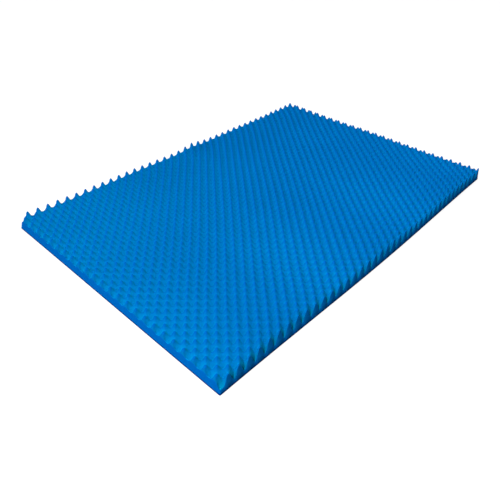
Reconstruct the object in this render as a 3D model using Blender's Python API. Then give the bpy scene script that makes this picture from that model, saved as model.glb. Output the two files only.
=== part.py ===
"""A mattress topper of profiled (egg-crate) foam, lying flat with its peaks up.

The topper is one piece of foam. Its top is a staggered pattern of rounded peaks and
valleys, its four sides are plain upright cuts, and its underside is flat. X runs along
the length, Y across the width and Z up, and the origin is under the middle of the pad.
"""
import math

import bmesh
import bpy
import numpy as np

# The profile, in metres. Peaks stand at whole pitches in both directions, and again half
# a pitch on in both.
PITCH_ALONG = 0.0508
PITCH_ACROSS = 0.05715
THICKNESS = 0.076  # underside to the tips of the peaks
BASE = 0.020  # foam left under the valleys
STEPS_PER_PITCH = 2  # a point on each peak and each valley

# Where the sides cut the pattern, in pitches from one peak.
CUT_ALONG = (-0.22, 38.84)
CUT_ACROSS = (-0.50, 23.76)
BACK_SKEW = 0.10  # the back side is cut a little out of square, in pitches
END_SKEW = 0.06  # and so is the second short side

# How the soft pad lies, in metres.
BOW = 0.0057  # half the sideways bow of both long sides
ROW_DRIFT = 0.0045  # sideways drift of the rows between the long sides
ROW_STRETCH = 0.0025  # lengthwise drift, opposite on the two long sides
WAVES = 3  # soft waves along the length
WAVE_HEIGHT = 0.0022  # half height of the waves, at mid width
WAVE_TWIST = 0.0046  # added on the front side and taken off on the back
RIM_REACH = 1.2  # the rows this near to a side lean and lift, in pitches
FRONT_ROW_INWARD = 0.0055
BACK_ROW_OUTWARD = 0.0165
BACK_ROW_LIFT = 0.005
END_ROW_LIFT = 0.0065
EDGE_SPREAD = 0.0032  # the edge of the first short side opens outward by this much
EDGE_REACH = 0.2  # and draws the foam this near to it along, in pitches
HUMP_PLACE = (20.6, 23.7)  # one buckled place on the back side, in pitches
HUMP_REACH = 1.6
HUMP_HEIGHT = 0.018
LOW_CORNER_HEIGHT = 0.022  # the two corners of the first short side are pressed down
LOW_CORNER_REACH = 0.012
CORNER_RADIUS = 0.004  # rounding of the four corners, seen from above
END_LEAN = 0.0060  # how far the foot of each short side stands out past its top edge
SIDE_LEAN = 0.0045  # and the foot of each long side

LENGTH = (CUT_ALONG[1] - CUT_ALONG[0]) * PITCH_ALONG
WIDTH = (CUT_ACROSS[1] - CUT_ACROSS[0]) * PITCH_ACROSS
FOAM_BLUE = (0.004, 0.165, 0.530, 1.0)
FOAM_ROUGHNESS = 0.92


def clear_scene():
    """Remove every object that the file starts with."""
    for old in list(bpy.data.objects):
        bpy.data.objects.remove(old)


def cut_lines(cut):
    """Grid lines on each half pitch between two cuts, with the cuts as first and last."""
    first = math.floor(cut[0] * STEPS_PER_PITCH) + 1
    last = math.ceil(cut[1] * STEPS_PER_PITCH) - 1
    inner = np.arange(first, last + 1) / STEPS_PER_PITCH
    return np.concatenate(([cut[0]], inner, [cut[1]]))


def cut_grid():
    """The grid of the top, in pitches, with two of the sides cut a little out of square."""
    s, t = np.meshgrid(cut_lines(CUT_ALONG), cut_lines(CUT_ACROSS), indexing="ij")
    t[:, -1] += BACK_SKEW * (along_share(s[:, -1]) - 0.5)
    s[-1] += END_SKEW * (across_share(t[-1]) - 0.5)
    return s, t


def along_share(s):
    """How far along the length a place is, from 0 to 1."""
    return (s - CUT_ALONG[0]) / (CUT_ALONG[1] - CUT_ALONG[0])


def across_share(t):
    """How far across the width a place is, from 0 to 1."""
    return (t - CUT_ACROSS[0]) / (CUT_ACROSS[1] - CUT_ACROSS[0])


def near(distance, reach):
    """A soft bell: 1 at no distance, falling to nothing a few reaches away."""
    return np.exp(-((distance / reach) ** 2))


def rounded_corner(x, y):
    """Draw points near a corner in, so that the square corner becomes a quarter circle."""
    p = np.clip((np.abs(x) - LENGTH / 2 + CORNER_RADIUS) / CORNER_RADIUS, 0, 1)
    q = np.clip((np.abs(y) - WIDTH / 2 + CORNER_RADIUS) / CORNER_RADIUS, 0, 1)
    x = x - np.sign(x) * CORNER_RADIUS * p * (1 - np.sqrt(1 - q**2 / 2))
    y = y - np.sign(y) * CORNER_RADIUS * q * (1 - np.sqrt(1 - p**2 / 2))
    return x, y


def plan(s, t):
    """X and Y of the foam at a place in pitches, with the drift and bow of the soft pad."""
    u, v = along_share(s), across_share(t)
    x, y = rounded_corner((u - 0.5) * LENGTH, (v - 0.5) * WIDTH)
    x = x - ROW_STRETCH * np.cos(2 * np.pi * u) * np.cos(np.pi * v)
    x = x - EDGE_SPREAD * near(s - CUT_ALONG[0], EDGE_REACH)
    y = y + BOW * np.cos(2 * np.pi * u) + ROW_DRIFT * np.cos(2 * np.pi * v)
    y = y + FRONT_ROW_INWARD * near(t - CUT_ACROSS[0], RIM_REACH)
    y = y + BACK_ROW_OUTWARD * near(t - CUT_ACROSS[1], RIM_REACH)
    return x, y


def tip_height(s, t):
    """Height of the plane that the tips reach, with its waves, lifts and one hump."""
    u, v = along_share(s), across_share(t)
    wave = (WAVE_HEIGHT + WAVE_TWIST * np.cos(np.pi * v)) * np.cos(2 * np.pi * WAVES * u)
    back = near(t - CUT_ACROSS[1], RIM_REACH)
    end = near(s - CUT_ALONG[1], RIM_REACH)
    lift = np.maximum(BACK_ROW_LIFT * back, END_ROW_LIFT * end)
    hump = HUMP_HEIGHT * near(np.hypot(s - HUMP_PLACE[0], t - HUMP_PLACE[1]), HUMP_REACH)
    return THICKNESS - wave + lift + hump


def pattern(s, t):
    """1 on a peak, -1 in a valley and 0 on the saddles between them."""
    return np.cos(2 * np.pi * s) * np.cos(2 * np.pi * t)


def top_surface(s, t):
    """Points of the profiled top, for places given in pitches."""
    x, y = plan(s, t)
    z = BASE + (tip_height(s, t) - BASE) * (pattern(s, t) + 1) / 2
    for side in CUT_ACROSS:
        away = np.hypot((s - CUT_ALONG[0]) * PITCH_ALONG, (t - side) * PITCH_ACROSS)
        z = z + near(away, LOW_CORNER_REACH) * (LOW_CORNER_HEIGHT - z)
    return np.stack([x, y, z], axis=-1)


def split_along_valleys(points):
    """Two triangles for each cell of the grid, parted by the lower of its diagonals."""
    rows, columns = points.shape[:2]
    number = np.arange(rows * columns).reshape(rows, columns)
    a, b = number[:-1, :-1].ravel(), number[1:, :-1].ravel()
    c, d = number[1:, 1:].ravel(), number[:-1, 1:].ravel()
    z = points[..., 2].ravel()
    low_ac = z[a] + z[c] < z[b] + z[d]
    by_ac = np.concatenate([np.stack([a, b, c], 1)[low_ac], np.stack([a, c, d], 1)[low_ac]])
    by_bd = np.concatenate([np.stack([a, b, d], 1)[~low_ac], np.stack([b, c, d], 1)[~low_ac]])
    return np.concatenate([by_ac, by_bd])


def foot(x, y):
    """The place on the underside below a point of the top edge: the cut sides lean out."""
    return x * (1 + 2 * END_LEAN / LENGTH), y * (1 + 2 * SIDE_LEAN / WIDTH)


def centred(mesh):
    """Move a mesh so that the middle of its outline, seen from above, is at X 0, Y 0."""
    places = np.array([vertex.co for vertex in mesh.verts])
    middle = (places.min(axis=0) + places.max(axis=0)) / 2
    bmesh.ops.translate(mesh, verts=mesh.verts, vec=(-middle[0], -middle[1], 0.0))


def foam_material():
    """Matt, bright blue foam."""
    material = bpy.data.materials.new("blue_foam")
    material.use_nodes = True
    shader = material.node_tree.nodes["Principled BSDF"]
    shader.inputs["Base Color"].default_value = FOAM_BLUE
    shader.inputs["Roughness"].default_value = FOAM_ROUGHNESS
    shader.inputs["Metallic"].default_value = 0.0
    return material


def foam_topper():
    """The pad: its profiled top, four leaning cut sides and a flat underside."""
    points = top_surface(*cut_grid())
    mesh = bpy.data.meshes.new("foam_topper")
    mesh.from_pydata(points.reshape(-1, 3).tolist(), [], split_along_valleys(points).tolist())

    pad = bmesh.new()
    pad.from_mesh(mesh)
    for face in pad.faces:
        face.smooth = True
    rim = [edge for edge in pad.edges if edge.is_boundary]
    sides = bmesh.ops.extrude_edge_only(pad, edges=rim)["geom"]
    for corner in (item for item in sides if isinstance(item, bmesh.types.BMVert)):
        x, y = foot(corner.co.x, corner.co.y)
        corner.co = (x, y, 0.0)
    floor_edges = [edge for edge in pad.edges if edge.is_boundary]
    bmesh.ops.contextual_create(pad, geom=floor_edges)
    for edge in rim + floor_edges:
        edge.smooth = False
    bmesh.ops.recalc_face_normals(pad, faces=pad.faces)
    centred(pad)
    pad.to_mesh(mesh)
    pad.free()

    mesh.materials.append(foam_material())
    topper = bpy.data.objects.new("foam_topper", mesh)
    bpy.context.collection.objects.link(topper)


clear_scene()
foam_topper()
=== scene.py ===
"""The looks of a blue egg-crate foam mattress topper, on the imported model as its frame."""

import bpy
import numpy as np
from mathutils import Matrix, Vector


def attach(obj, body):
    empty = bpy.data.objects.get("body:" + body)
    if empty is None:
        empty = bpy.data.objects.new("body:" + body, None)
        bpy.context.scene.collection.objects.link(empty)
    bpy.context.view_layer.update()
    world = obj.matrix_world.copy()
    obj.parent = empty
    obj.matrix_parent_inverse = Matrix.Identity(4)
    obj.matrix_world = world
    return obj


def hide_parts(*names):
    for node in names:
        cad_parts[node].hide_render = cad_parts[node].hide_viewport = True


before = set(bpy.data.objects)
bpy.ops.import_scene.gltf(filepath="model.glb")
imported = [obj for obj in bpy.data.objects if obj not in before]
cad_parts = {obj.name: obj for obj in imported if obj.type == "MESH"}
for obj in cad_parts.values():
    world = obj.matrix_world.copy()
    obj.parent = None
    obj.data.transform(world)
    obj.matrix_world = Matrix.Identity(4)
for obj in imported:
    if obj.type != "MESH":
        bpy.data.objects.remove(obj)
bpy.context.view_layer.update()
scene = bpy.context.scene


# --- The foam pad ----------------------------------------------------------------------------
# The topper is one slab of soft polyurethane foam. It is squeezed between pin rollers and
# slit while squeezed, so that its top springs back as a staggered pattern of soft peaks and
# valleys. The four sides are then cut through that pattern. It lies loose, a little uneven.

# The pattern, in metres.
PITCH_ALONG = 0.0508
PITCH_ACROSS = 0.05715
THICKNESS = 0.076  # underside to the tips of the peaks
BASE = 0.020  # foam left under the valleys
POINTS_PER_PITCH = 10  # points of the grid that carries the top

# Where the sides cut the pattern, in pitches from one peak.
CUT_ALONG = (-0.22, 38.84)
CUT_ACROSS = (-0.50, 23.76)
BACK_SKEW = 0.10  # the back side is cut a little out of square, in pitches
END_SKEW = 0.06  # and so is the second short side

# How the soft pad lies, in metres.
BOW = 0.0057  # half the sideways bow of both long sides
ROW_DRIFT = 0.0045  # sideways drift of the rows between the long sides
ROW_STRETCH = 0.0025  # lengthwise drift, opposite on the two long sides
ROW_RIPPLE = 0.0013  # a shorter drift, three times along the length, taken off that
WAVES = 3  # soft waves along the length
WAVE_HEIGHT = 0.0022  # half height of the waves, at mid width
WAVE_TWIST = 0.0046  # added on the front side and taken off on the back
CROSS_WAVE = 0.0018  # half height of two waves across the width
RANDOM_WAVE = 0.0010  # random waves mostly stay within this, and reach 1.7 times it at most
RANDOM_WAVELENGTH = 0.16
RIM_REACH = 1.2  # the rows this near to a side lean and lift, in pitches
FRONT_ROW_INWARD = 0.0055
BACK_ROW_OUTWARD = 0.0165
BACK_ROW_LIFT = 0.005
END_ROW_LIFT = 0.0065
EDGE_SPREAD = 0.0032  # the edge of the first short side opens outward by this much
EDGE_REACH = 0.2  # and draws the foam this near to it along, in pitches
HUMP_PLACE = (20.6, 23.7)  # one buckled place on the back side, in pitches
HUMP_REACH = 1.6
HUMP_HEIGHT = 0.018
LOW_CORNER_HEIGHT = 0.022  # the two corners of the first short side are pressed down
LOW_CORNER_REACH = 0.012

# The cut edges, in metres.
CORNER_RADIUS = 0.004  # rounding of the four corners, seen from above
END_LEAN = 0.0060  # how far the foot of each short side stands out past its top edge
SIDE_LEAN = 0.0045  # and the foot of each long side
EDGE = 0.0012  # rounding of the upper edges and of the foot

LENGTH = (CUT_ALONG[1] - CUT_ALONG[0]) * PITCH_ALONG
WIDTH = (CUT_ACROSS[1] - CUT_ACROSS[0]) * PITCH_ACROSS


def grid_lines(cut):
    """Every tenth of a pitch between two cuts, with the cuts as the first and last line."""
    first = np.floor(cut[0] * POINTS_PER_PITCH) + 1
    last = np.ceil(cut[1] * POINTS_PER_PITCH) - 1
    inner = np.arange(first, last + 1) / POINTS_PER_PITCH
    return np.concatenate(([cut[0]], inner, [cut[1]]))


def along_share(s):
    """How far along the length a place is, from 0 to 1."""
    return (s - CUT_ALONG[0]) / (CUT_ALONG[1] - CUT_ALONG[0])


def across_share(t):
    """How far across the width a place is, from 0 to 1."""
    return (t - CUT_ACROSS[0]) / (CUT_ACROSS[1] - CUT_ACROSS[0])


def pad_grid():
    """Places on the top in pitches, with two of the sides cut a little out of square."""
    s, t = np.meshgrid(grid_lines(CUT_ALONG), grid_lines(CUT_ACROSS), indexing="ij")
    t[:, -1] += BACK_SKEW * (along_share(s[:, -1]) - 0.5)
    s[-1] += END_SKEW * (across_share(t[-1]) - 0.5)
    return s, t


def near(distance, reach):
    """A soft bell: e to the power of minus the square of the distance over the reach."""
    return np.exp(-((distance / reach) ** 2))


def rounded_corner(x, y):
    """Points near a corner drawn in, so that the square corner becomes a quarter circle."""
    p = np.clip((np.abs(x) - LENGTH / 2 + CORNER_RADIUS) / CORNER_RADIUS, 0, 1)
    q = np.clip((np.abs(y) - WIDTH / 2 + CORNER_RADIUS) / CORNER_RADIUS, 0, 1)
    x = x - np.sign(x) * CORNER_RADIUS * p * (1 - np.sqrt(1 - q**2 / 2))
    y = y - np.sign(y) * CORNER_RADIUS * q * (1 - np.sqrt(1 - p**2 / 2))
    return x, y


def plan(s, t):
    """X and Y at a place in pitches: even spacing, cosines for drift and bow, bells at the rim."""
    u, v = along_share(s), across_share(t)
    x, y = rounded_corner((u - 0.5) * LENGTH, (v - 0.5) * WIDTH)
    drift = ROW_STRETCH * np.cos(2 * np.pi * u) - ROW_RIPPLE * np.cos(6 * np.pi * u)
    x = x - drift * np.cos(np.pi * v)
    x = x - EDGE_SPREAD * near(s - CUT_ALONG[0], EDGE_REACH)
    y = y + BOW * np.cos(2 * np.pi * u) + ROW_DRIFT * np.cos(2 * np.pi * v)
    y = y + FRONT_ROW_INWARD * near(t - CUT_ACROSS[0], RIM_REACH)
    y = y + BACK_ROW_OUTWARD * near(t - CUT_ACROSS[1], RIM_REACH)
    return x, y


def random_waves(x, y, wavelength, seed):
    """A sum of eight sine waves that run in random directions, mostly between -1 and 1."""
    rng = np.random.default_rng(seed)
    total = np.zeros_like(x)
    for angle, phase, stretch in rng.random((8, 3)):
        turn = 2 * np.pi / (wavelength * (0.7 + 0.6 * stretch))
        way = np.cos(np.pi * angle) * x + np.sin(np.pi * angle) * y
        total += np.sin(turn * way + 2 * np.pi * phase)
    return total / 4


def tip_height(s, t, x, y):
    """Height of the plane that the tips reach: the thickness, with cosine waves and bells."""
    u, v = along_share(s), across_share(t)
    wave = (WAVE_HEIGHT + WAVE_TWIST * np.cos(np.pi * v)) * np.cos(2 * np.pi * WAVES * u)
    cross = CROSS_WAVE * np.cos(4 * np.pi * v)
    uneven = RANDOM_WAVE * random_waves(x, y, RANDOM_WAVELENGTH, seed=3)
    back = near(t - CUT_ACROSS[1], RIM_REACH)
    end = near(s - CUT_ALONG[1], RIM_REACH)
    lift = np.maximum(BACK_ROW_LIFT * back, END_ROW_LIFT * end)
    hump = HUMP_HEIGHT * near(np.hypot(s - HUMP_PLACE[0], t - HUMP_PLACE[1]), HUMP_REACH)
    return THICKNESS - wave + lift + hump + cross + uneven


def relief(s, t):
    """The product of two cosines: 1 on a peak, -1 in a valley, 0 on a saddle."""
    return np.cos(2 * np.pi * s) * np.cos(2 * np.pi * t)


def top_surface(s, t):
    """Points of the top: the relief, scaled to run from the base up to the tips' plane."""
    x, y = plan(s, t)
    z = BASE + (tip_height(s, t, x, y) - BASE) * (relief(s, t) + 1) / 2
    for side in CUT_ACROSS:
        away = np.hypot((s - CUT_ALONG[0]) * PITCH_ALONG, (t - side) * PITCH_ACROSS)
        z = z + near(away, LOW_CORNER_REACH) * (LOW_CORNER_HEIGHT - z)
    return np.stack([x, y, z], axis=-1)


def rim_of(number):
    """The numbers of the grid's border points, once round."""
    return np.concatenate([number[:-1, 0], number[-1, :-1], number[:0:-1, -1], number[0, :0:-1]])


def outward_from(rim):
    """The level way out of the foam at each point of the rim: its run, turned by a quarter."""
    run = np.roll(rim, -1, axis=0) - np.roll(rim, 1, axis=0)
    outward = np.stack([run[:, 1], -run[:, 0], np.zeros(len(rim))], axis=-1)
    return outward / np.linalg.norm(outward, axis=1, keepdims=True)


def side_rings(rim, outward):
    """Three rings: under the rounded edge, at the foot, which is wider, and tucked under it."""
    under_edge = rim - [0, 0, EDGE]
    foot = rim * [1 + 2 * END_LEAN / LENGTH, 1 + 2 * SIDE_LEAN / WIDTH, 0] + [0, 0, EDGE]
    tucked = (foot - outward * EDGE) * [1, 1, 0]
    return under_edge, foot, tucked


def pad_faces(number, loop, rings):
    """Quads of the top's grid, quads from ring to ring down the sides, and the underside."""
    quads = [np.stack([number[:-1, :-1], number[1:, :-1], number[1:, 1:], number[:-1, 1:]], -1)]
    upper = loop
    for ring in range(rings):
        lower = number.size + ring * len(loop) + np.arange(len(loop))
        quads.append(np.stack([lower, np.roll(lower, -1), np.roll(upper, -1), upper], -1))
        upper = lower
    faces = [quad for part in quads for quad in part.reshape(-1, 4).tolist()]
    return faces + [upper[::-1].tolist()]


def sharpen_rings(mesh, top_points, ring_points):
    """Mark the edges that run along a ring as sharp, so that each cut side shades as flat."""
    ends = np.zeros(2 * len(mesh.edges), dtype=int)
    mesh.edges.foreach_get("vertices", ends)
    first, second = ((ends.reshape(-1, 2) - top_points) // ring_points).T
    mesh.edges.foreach_set("use_edge_sharp", (first >= 0) & (first == second))


FRONT_ROW_REACH = 0.2  # how far the painted shade of the row that is cut in front reaches, in pitches
FRONT_FACING = 0.7  # a side counts as the front side where it faces -Y by at least this


def pad_marks(s, t, faces_front):
    """Where each point lies in the pattern, as numbers that the finish reads.

    Seen from the first corner, s - t grows to the right and s + t to the back. The sine of
    each says how far the slope faces that way, and the cosine of s + t is 1 on a crest line.
    The others mark the height in the relief, the row cut in front, the top and the front side.
    """
    on_top = {
        "relief": relief(s, t),
        "to_right": np.sin(2 * np.pi * (s - t)),
        "to_back": np.sin(2 * np.pi * (s + t)),
        "crest": np.cos(2 * np.pi * (s + t)),
        "front_row": near(t - CUT_ACROSS[0], FRONT_ROW_REACH) * np.clip(2 * s, 0, 1),
        "profiled": np.ones_like(s),
    }
    no_mark = np.zeros(len(faces_front))
    marks = {name: np.append(values, no_mark) for name, values in on_top.items()}
    marks["front_side"] = np.append(np.zeros_like(s), faces_front)
    return marks


def pad_mesh():
    """The pad as one closed mesh: the top as a grid, the sides as rings, one flat underside."""
    s, t = pad_grid()
    number = np.arange(s.size).reshape(s.shape)
    loop = rim_of(number)
    top = top_surface(s, t).reshape(-1, 3)
    rim = top[loop].copy()
    outward = outward_from(rim)
    rings = side_rings(rim, outward)
    top[loop] = rim - outward * EDGE
    vertices = np.concatenate([top, *rings])
    vertices[:, :2] -= (vertices[:, :2].min(axis=0) + vertices[:, :2].max(axis=0)) / 2

    mesh = bpy.data.meshes.new("foam_pad")
    mesh.from_pydata(vertices.tolist(), [], pad_faces(number, loop, len(rings)))
    mesh.shade_smooth()
    sharpen_rings(mesh, len(top), len(loop))
    faces_front = np.tile(outward[:, 1] < -FRONT_FACING, len(rings))
    for name, values in pad_marks(s, t, faces_front).items():
        mesh.attributes.new(name, "FLOAT", "POINT").data.foreach_set("value", values.astype("f"))
    return mesh


# The foam is dyed right through, a bright blue, and its surface is open cells with no skin.
# Its top carries painted light and shade: the valleys and the right-facing flanks are painted
# lighter, with a painted glow on their far halves, and the tips, the crest lines and teal lines
# along the crests and in the front row are painted shade. The cut sides are a plainer blue, with
# painted light on the front side's arches and a painted shadow along the foot.

FLANK_BLUE = (0.0, 0.205, 0.515, 1.0)
# painted light: the valleys are painted a lighter blue
VALLEY_PAINTED_LIGHT_BLUE = (0.0, 0.300, 0.580, 1.0)
# painted shade: the tips and the crest lines are painted a deeper blue
TIP_PAINTED_SHADE_BLUE = (0.0, 0.095, 0.410, 1.0)
RIGHT_PAINTED_LIGHT_BLUE = (0.0, 0.360, 0.720, 1.0)  # painted light on the flanks that face right from the first corner
PAINTED_GLOW_BLUE = (0.0, 0.750, 0.850, 1.0)  # a painted glow on their far halves
CREST_PAINTED_SHADE_TEAL = (0.0, 0.280, 0.220, 1.0)  # painted shade: a thin teal line where they meet a crest
FRONT_ROW_PAINTED_SHADE_TEAL = (0.0, 0.060, 0.070, 1.0)  # painted shade on the same flanks in the row that is cut in front
CUT_BLUE = (0.0, 0.138, 0.540, 1.0)
ARCH_PAINTED_LIGHT_BLUE = (0.0, 0.300, 1.000, 1.0)  # painted light on the thin arches at the top of the front side
# painted shadow: a dark line along the foot
FOOT_PAINTED_SHADOW_BLUE = (0.0, 0.012, 0.180, 1.0)

# How much of a colour its places take.
PAINTED_SHADE_ON_CREST = 0.6
PAINTED_LIGHT_ON_RIGHT_FLANK = 0.8
PAINTED_LIGHT_LOST_ON_TIP = 0.6
PAINTED_GLOW_ON_RIGHT = 0.8
PAINTED_SHADE_TEAL_ON_RIGHT = 0.6
DEEP, PALE = 0.75, 1.25  # the darkest and the palest grain, against the colour itself
MOTTLE_SHARE, GRAIN_SHARE = 0.1, 0.3

ARCH_LIGHT_START = 0.0075  # the arches' painted light starts this high, in metres
ARCH_LIGHT_RISE = 0.025  # and is full this much higher
FOOT_SHADOW_BAND = 0.0045  # the foot's painted shadow line is this high, and fades over as much again
MOTTLE_SCALE = 9.0  # cloudy patches, in waves a metre
GRAIN_SCALE = 420.0  # clumps of cells
CELL_SCALE = 900.0  # open cells
CELL_DEPTH = 0.0012


class Shade:
    """A shader value. The operators + - * / and ** on it add their Math nodes."""

    def __init__(self, finish, socket):
        self.finish = finish
        self.socket = socket

    def math(self, operation, *values):
        """A Math node with these values as its inputs."""
        return self.finish.node("ShaderNodeMath", {"operation": operation}, dict(enumerate(values)))

    def __add__(self, other):
        return self.math("ADD", self, other)

    def __sub__(self, other):
        return self.math("SUBTRACT", self, other)

    def __rsub__(self, other):
        return self.math("SUBTRACT", other, self)

    def __mul__(self, other):
        return self.math("MULTIPLY", self, other)

    def __truediv__(self, other):
        return self.math("DIVIDE", self, other)

    def __rtruediv__(self, other):
        return self.math("DIVIDE", other, self)

    def __pow__(self, other):
        return self.math("POWER", self, other)

    def __rpow__(self, other):
        return self.math("POWER", other, self)

    __radd__ = __add__
    __rmul__ = __mul__

    def clamped(self):
        """The value kept between 0 and 1."""
        return self.math("MINIMUM", self.math("MAXIMUM", self, 0.0), 1.0)


class Finish:
    """A material's or the world's nodes, and a way to add the nodes that feed its last one."""

    def __init__(self, owner, last="Principled BSDF"):
        self.owner = owner
        owner.use_nodes = True
        self.tree = owner.node_tree
        self.surface = self.tree.nodes[last]

    def node(self, kind, settings=(), inputs=(), output=0):
        """Add a node of this kind, make its settings, then link or set its inputs."""
        added = self.tree.nodes.new(kind)
        for name, value in dict(settings).items():
            setattr(added, name, value)
        for name, value in dict(inputs).items():
            self.feed(added.inputs[name], value)
        return Shade(self, added.outputs[output])

    def feed(self, socket, value):
        """Link a shade to a socket, or set the socket to a plain value."""
        if isinstance(value, Shade):
            self.tree.links.new(value.socket, socket)
        else:
            socket.default_value = value

    def give(self, **values):
        """Feed these to the last node's own sockets, with _ for a space in a socket's name."""
        for name, value in values.items():
            self.feed(self.surface.inputs[name.replace("_", " ")], value)

    def mix(self, factor, first, second):
        """The first colour where the factor is 0 and the second where it is 1."""
        inputs = {0: factor, 6: first, 7: second}
        return self.node("ShaderNodeMix", {"data_type": "RGBA"}, inputs, output=2)

    def scaled(self, colour, factor):
        """The colour, this many times as bright."""
        inputs = {0: colour, "Scale": factor}
        return self.node("ShaderNodeVectorMath", {"operation": "SCALE"}, inputs)

    def mark(self, name):
        """The numbers that the mesh carries under this name."""
        return self.node("ShaderNodeAttribute", {"attribute_name": name}, output=2)

    def places(self):
        """Object coordinates, in metres."""
        return self.node("ShaderNodeTexCoord", output=3)

    def noise(self, place, scale, detail=2.0):
        """Soft noise of about 0.5, with this many waves a metre."""
        inputs = {"Vector": place, "Scale": scale, "Detail": detail}
        return self.node("ShaderNodeTexNoise", inputs=inputs)


def top_colour(foam):
    """Flank blue, with painted light and painted shade mixed in by height, slope and crest line."""
    height, front_row = foam.mark("relief"), foam.mark("front_row")
    crest, far = foam.mark("crest").clamped(), foam.mark("to_back").clamped()
    rightness = foam.mark("to_right").clamped()
    on_right = rightness**2.0
    behind_front = 1.0 - front_row
    spread = (PAINTED_LIGHT_ON_RIGHT_FLANK - height * PAINTED_LIGHT_LOST_ON_TIP).clamped()
    # painted light: the valleys are painted lighter
    colour = foam.mix((height * -1.0).clamped(), FLANK_BLUE, VALLEY_PAINTED_LIGHT_BLUE)
    # painted shade: the tips and the crest lines are painted deeper
    colour = foam.mix(height.clamped(), colour, TIP_PAINTED_SHADE_BLUE)
    colour = foam.mix(crest**3.0 * PAINTED_SHADE_ON_CREST, colour, TIP_PAINTED_SHADE_BLUE)
    # painted light on the flanks that face right from the first corner
    colour = foam.mix(on_right * spread, colour, RIGHT_PAINTED_LIGHT_BLUE)
    # a painted glow on the far halves of those flanks
    colour = foam.mix(on_right * far * behind_front * PAINTED_GLOW_ON_RIGHT, colour, PAINTED_GLOW_BLUE)
    # painted shade: a thin teal line where those flanks meet a crest
    colour = foam.mix(on_right * crest**6.0 * behind_front * PAINTED_SHADE_TEAL_ON_RIGHT, colour, CREST_PAINTED_SHADE_TEAL)
    # painted shade on those flanks in the row that is cut in front
    return foam.mix((rightness * 3.0).clamped() * front_row, colour, FRONT_ROW_PAINTED_SHADE_TEAL)


def side_colour(foam, place):
    """Cut blue, with painted light on the front side's arches and a painted shadow along the foot.
    """
    level = foam.node("ShaderNodeSeparateXYZ", inputs={0: place}, output=2)
    # painted light on the arches at the top of the front side
    painted_arch_light = foam.mark("front_side") * ((level - ARCH_LIGHT_START) / ARCH_LIGHT_RISE).clamped()
    colour = foam.mix(painted_arch_light, CUT_BLUE, ARCH_PAINTED_LIGHT_BLUE)
    # painted shadow: a dark line along the foot
    return foam.mix((2.0 - level / FOOT_SHADOW_BAND).clamped(), colour, FOOT_PAINTED_SHADOW_BLUE)


def foam_finish():
    """Matt blue open-cell foam: cloudy patches and grain over the colour, cells as bumps."""
    foam = Finish(bpy.data.materials.new("blue_foam"))
    place = foam.places()
    colour = foam.mix(foam.mark("profiled"), side_colour(foam, place), top_colour(foam))

    mottle = foam.noise(place, MOTTLE_SCALE, detail=4.0)
    grain = foam.noise(place, GRAIN_SCALE, detail=3.0)
    cells = foam.node("ShaderNodeTexVoronoi", inputs={"Vector": place, "Scale": CELL_SCALE})
    shade = (mottle - 0.5) * MOTTLE_SHARE + (grain - 0.5) * GRAIN_SHARE + 0.5
    mottled = foam.mix(shade.clamped(), foam.scaled(colour, DEEP), foam.scaled(colour, PALE))

    rough = {"Height": grain * 0.6 + cells * 0.4, "Strength": 0.5, "Distance": CELL_DEPTH}
    bump = foam.node("ShaderNodeBump", inputs=rough)
    foam.give(Base_Color=mottled, Normal=bump, Roughness=0.95, Specular_IOR_Level=0.0)
    return foam.owner


pad = bpy.data.objects.new("foam_pad", pad_mesh())
pad.data.materials.append(foam_finish())
scene.collection.objects.link(pad)
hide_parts("foam_topper")
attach(pad, "root")


# --- The floor -------------------------------------------------------------------------------
# A plain, pale and matt studio floor, round in plan, which turns up at its rim into a wide dome
# of the same white. Light passes through it, so the dome shades nothing.

FLOOR_REACH = 40.0
FLOOR_GAP = 0.0005  # the floor lies this far under the pad
SECTORS, LEVELS = 64, 16
FLOOR_DULL = (0.20, 0.20, 0.20, 1.0)
FLOOR_CLEAN = (0.22, 0.22, 0.22, 1.0)
FLOOR_GLOW = 0.85
WHITE = (1.0, 1.0, 1.0, 1.0)


def floor_and_dome():
    """A flat disc just under the pad, and rings of a quarter circle that close above it."""
    turn = np.linspace(0, 2 * np.pi, SECTORS, endpoint=False)
    lift = np.linspace(0, np.pi / 2, LEVELS, endpoint=False)[:, None]
    across = FLOOR_REACH * np.cos(lift)
    height = FLOOR_REACH * np.sin(lift) + 0 * turn - FLOOR_GAP
    rings = np.stack([across * np.cos(turn), across * np.sin(turn), height], axis=-1)
    number = np.arange(SECTORS * LEVELS).reshape(LEVELS, SECTORS)
    after = np.roll(number, -1, axis=1)
    walls = np.stack([number[:-1], number[1:], after[1:], after[:-1]], axis=-1).reshape(-1, 4)
    mesh = bpy.data.meshes.new("studio_floor")
    faces = [number[0].tolist(), *walls.tolist(), number[-1, ::-1].tolist()]
    mesh.from_pydata(rings.reshape(-1, 3).tolist(), [], faces)
    return mesh


def floor_finish():
    """Matt white with a faint cloudiness, and with a glow of its own that keeps it white."""
    white = Finish(bpy.data.materials.new("floor_white"))
    cloud = white.noise(white.places(), 3.0)
    white.give(Base_Color=white.mix(cloud, FLOOR_DULL, FLOOR_CLEAN), Roughness=1.0)
    white.give(Specular_IOR_Level=0.0, Emission_Color=WHITE, Emission_Strength=FLOOR_GLOW)
    return white.owner


floor = bpy.data.objects.new("studio_floor", floor_and_dome())
floor.data.materials.append(floor_finish())
floor.visible_diffuse = False
floor.visible_shadow = False
scene.collection.objects.link(floor)


# --- Light -----------------------------------------------------------------------------------
# A bright studio. Wide soft lamps stand low on the left, high behind and overhead, one large
# round lamp stands high in front, and a faint white sky fills in from above.

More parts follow.
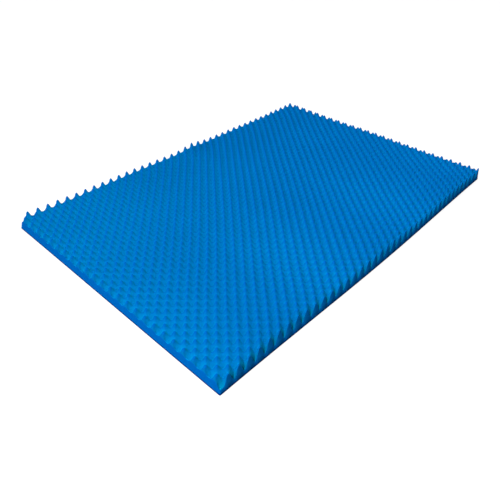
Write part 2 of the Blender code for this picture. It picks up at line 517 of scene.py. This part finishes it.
SKY_STRENGTH = 0.15
SKY_RISE = 3.3  # how fast the sky gains strength from below the horizon to above it
LAMP_SPREAD = np.radians(40)
LAMPS = {  # strength, and the way that the light goes
    "back_left_lamp": (1.46, (0.433, -0.750, -0.500)),
    "left_lamp": (0.80, (0.906, 0.000, -0.423)),
    "back_lamp": (0.88, (-0.370, -0.335, -0.866)),
    "top_lamp": (0.20, (0.000, 0.000, -1.000)),
}
FRONT_LAMP_PLACE = Vector((-2.15, -0.75, 2.85))
FRONT_LAMP_SIZE = 2.9
FRONT_LAMP_POWER = 100.0


def add_lamp(name, kind, energy, way):
    """A lamp at the origin that shines this way."""
    light = bpy.data.lights.new(name, kind)
    light.energy = energy
    lamp = bpy.data.objects.new(name, light)
    lamp.rotation_euler = Vector(way).to_track_quat("-Z", "Y").to_euler()
    scene.collection.objects.link(lamp)
    return lamp


scene.world = bpy.data.worlds.new("studio")
sky = Finish(scene.world, last="Background")
above = sky.node("ShaderNodeSeparateXYZ", inputs={0: sky.node("ShaderNodeTexCoord")}, output=2)
sky.give(Color=WHITE, Strength=(above * SKY_RISE + 0.5).clamped() * SKY_STRENGTH)
for name, (energy, way) in LAMPS.items():
    add_lamp(name, "SUN", energy, way).data.angle = LAMP_SPREAD
front_lamp = add_lamp("front_lamp", "AREA", FRONT_LAMP_POWER, -FRONT_LAMP_PLACE)
front_lamp.location = FRONT_LAMP_PLACE
front_lamp.data.shape = "DISK"
front_lamp.data.size = FRONT_LAMP_SIZE
scene.view_settings.view_transform = "Standard"


# --- Camera ----------------------------------------------------------------------------------
# The camera stands off the first corner and looks down at about 37 degrees. Its lens axis
# meets the picture a little to the right of the middle, so the frame is shifted.

PICTURE = 500  # the picture's side, in pixels
FOCAL_PIXELS = 491.2
MIDDLE_PIXEL = 265.0  # the picture column that the lens axis meets
CAMERA_PLACE = (-1.6361, -1.4746, 1.3701)
looking = Vector((0.5857, 0.5356, -0.6084)).normalized()
right = Vector((0.6789, -0.7342, 0.0072))
right = (right - looking * right.dot(looking)).normalized()
upward = right.cross(looking)

lens = bpy.data.cameras.new("camera")
lens.sensor_width = 36.0
lens.lens = FOCAL_PIXELS / PICTURE * lens.sensor_width
lens.shift_x = -(MIDDLE_PIXEL - PICTURE / 2) / PICTURE
camera = bpy.data.objects.new("camera", lens)
turned = Matrix((right, upward, -looking)).transposed().to_4x4()
camera.matrix_world = Matrix.Translation(CAMERA_PLACE) @ turned
scene.collection.objects.link(camera)
scene.camera = camera
